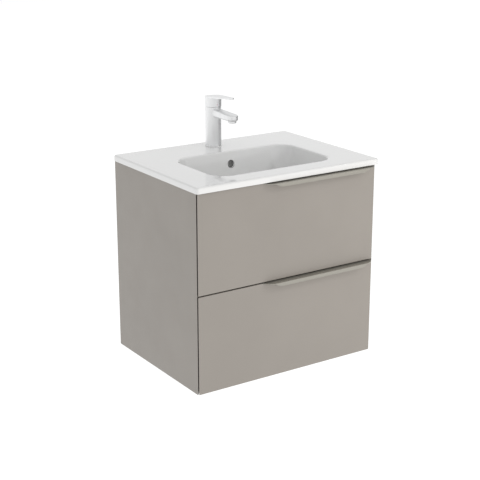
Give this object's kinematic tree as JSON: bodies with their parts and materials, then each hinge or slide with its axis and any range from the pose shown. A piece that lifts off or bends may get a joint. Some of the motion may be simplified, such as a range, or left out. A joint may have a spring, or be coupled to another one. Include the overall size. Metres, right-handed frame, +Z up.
{
  "type": "bathroom vanity cabinet",
  "caption": "Wall-hung bathroom vanity: two drawers on telescopic slides under a ceramic washbasin with a single-lever mixer tap, click waste and bottle trap.",
  "frame": {"origin": "middle of the wall rail's two fixing slots, on the wall plane", "axes": "+X to the right seen from the front, +Y into the wall, +Z up"},
  "size_m": [0.61, 0.47, 0.7468],
  "materials": {
    "lacquered_board": "satin warm grey lacquer on board",
    "cabinet_board": "light grey melamine board",
    "drawer_board": "light grey melamine board",
    "beech_dowel": "plain beech",
    "satin_aluminium": "satin anodised, slightly olive",
    "glazed_ceramic": "opaque white glaze",
    "chrome": "polished",
    "brass_fitting": "turned brass",
    "zinc_fitting": "zinc plated",
    "slide_steel": "zinc plated sheet steel",
    "nylon": "natural nylon",
    "white_plastic": "moulded white polypropylene",
    "grey_plastic": "moulded grey plastic",
    "black_rubber": "moulded rubber",
    "indicator_enamel": "half red, half blue inlay"
  },
  "bodies": {
    "cabinet": {"side_panel_left": "lacquered_board", "side_panel_right": "lacquered_board", "bottom_panel": "cabinet_board", "front_rail": "cabinet_board", "back_rail_upper": "cabinet_board", "back_rail_lower": "cabinet_board", "joint_dowels": "beech_dowel", "cam_fittings": "zinc_fitting", "panel_screws": "zinc_fitting", "cabinet_hangers": "zinc_fitting", "hanger_adjusters": "zinc_fitting", "wall_rail": "zinc_fitting", "upper_cabinet_rails": "slide_steel", "lower_cabinet_rails": "slide_steel", "washbasin": "glazed_ceramic", "waste_body": "chrome", "waste_seals": "black_rubber", "waste_backnut": "white_plastic", "waste_click_cartridge": "brass_fitting", "trap_inlet_nut": "white_plastic", "trap_body": "white_plastic", "trap_cup": "white_plastic", "trap_outlet_nut": "white_plastic", "trap_outlet_pipe": "white_plastic", "tap_body": "chrome", "tap_aerator": "chrome", "tap_cartridge": "grey_plastic", "tap_cartridge_nut": "brass_fitting", "tap_base_seal": "white_plastic", "tap_stud": "brass_fitting", "tap_washer": "zinc_fitting", "tap_nut": "brass_fitting"},
    "upper_drawer": {"upper_drawer_front": "lacquered_board", "upper_drawer_handle": "satin_aluminium", "upper_drawer_side_left": "drawer_board", "upper_drawer_side_right": "drawer_board", "upper_drawer_inner_front": "drawer_board", "upper_drawer_back": "drawer_board", "upper_drawer_bottom": "drawer_board", "upper_drawer_slide_inner": "slide_steel", "upper_drawer_screws": "zinc_fitting", "upper_drawer_trap_guard": "grey_plastic"},
    "lower_drawer": {"lower_drawer_front": "lacquered_board", "lower_drawer_handle": "satin_aluminium", "lower_drawer_side_left": "drawer_board", "lower_drawer_side_right": "drawer_board", "lower_drawer_inner_front": "drawer_board", "lower_drawer_back": "drawer_board", "lower_drawer_bottom": "drawer_board", "lower_drawer_slide_inner": "slide_steel", "lower_drawer_screws": "zinc_fitting"},
    "upper_runners": {"upper_drawer_slide_middle": "slide_steel", "upper_drawer_slide_glides": "nylon"},
    "lower_runners": {"lower_drawer_slide_middle": "slide_steel", "lower_drawer_slide_glides": "nylon"},
    "tap_carrier": {"tap_cartridge_carrier": "brass_fitting"},
    "tap_lever": {"tap_handle": "chrome", "tap_stem": "brass_fitting", "tap_indicator": "indicator_enamel"},
    "plug": {"waste_plug": "chrome"}
  },
  "joints": [
    {"name": "upper_drawer_slide", "type": "slide", "parent": "cabinet", "child": "upper_drawer", "axis": [0, -1, 0], "range_m": [0, 0.38]},
    {"name": "lower_drawer_slide", "type": "slide", "parent": "cabinet", "child": "lower_drawer", "axis": [0, -1, 0], "range_m": [0, 0.38]},
    {"name": "upper_runner_slide", "type": "slide", "parent": "cabinet", "child": "upper_runners", "axis": [0, -1, 0], "range_m": [0, 0.19]},
    {"name": "lower_runner_slide", "type": "slide", "parent": "cabinet", "child": "lower_runners", "axis": [0, -1, 0], "range_m": [0, 0.19]},
    {"name": "mixer_swivel", "type": "hinge", "parent": "cabinet", "child": "tap_carrier", "pos_m": [0, -0.06, 0.182], "axis": [0, 0, 1], "range_deg": [-50, 50]},
    {"name": "mixer_lift", "type": "hinge", "parent": "tap_carrier", "child": "tap_lever", "pos_m": [0, -0.054, 0.178], "axis": [-1, 0, 0], "range_deg": [0, 18]},
    {"name": "waste_plug_slide", "type": "slide", "parent": "cabinet", "child": "plug", "axis": [0, 0, 1], "range_m": [0, 0.007]}
  ],
  "couplings": [
    {"joint": "upper_runner_slide", "follows": "upper_drawer_slide", "ratio": 0.5},
    {"joint": "lower_runner_slide", "follows": "lower_drawer_slide", "ratio": 0.5}
  ]
}
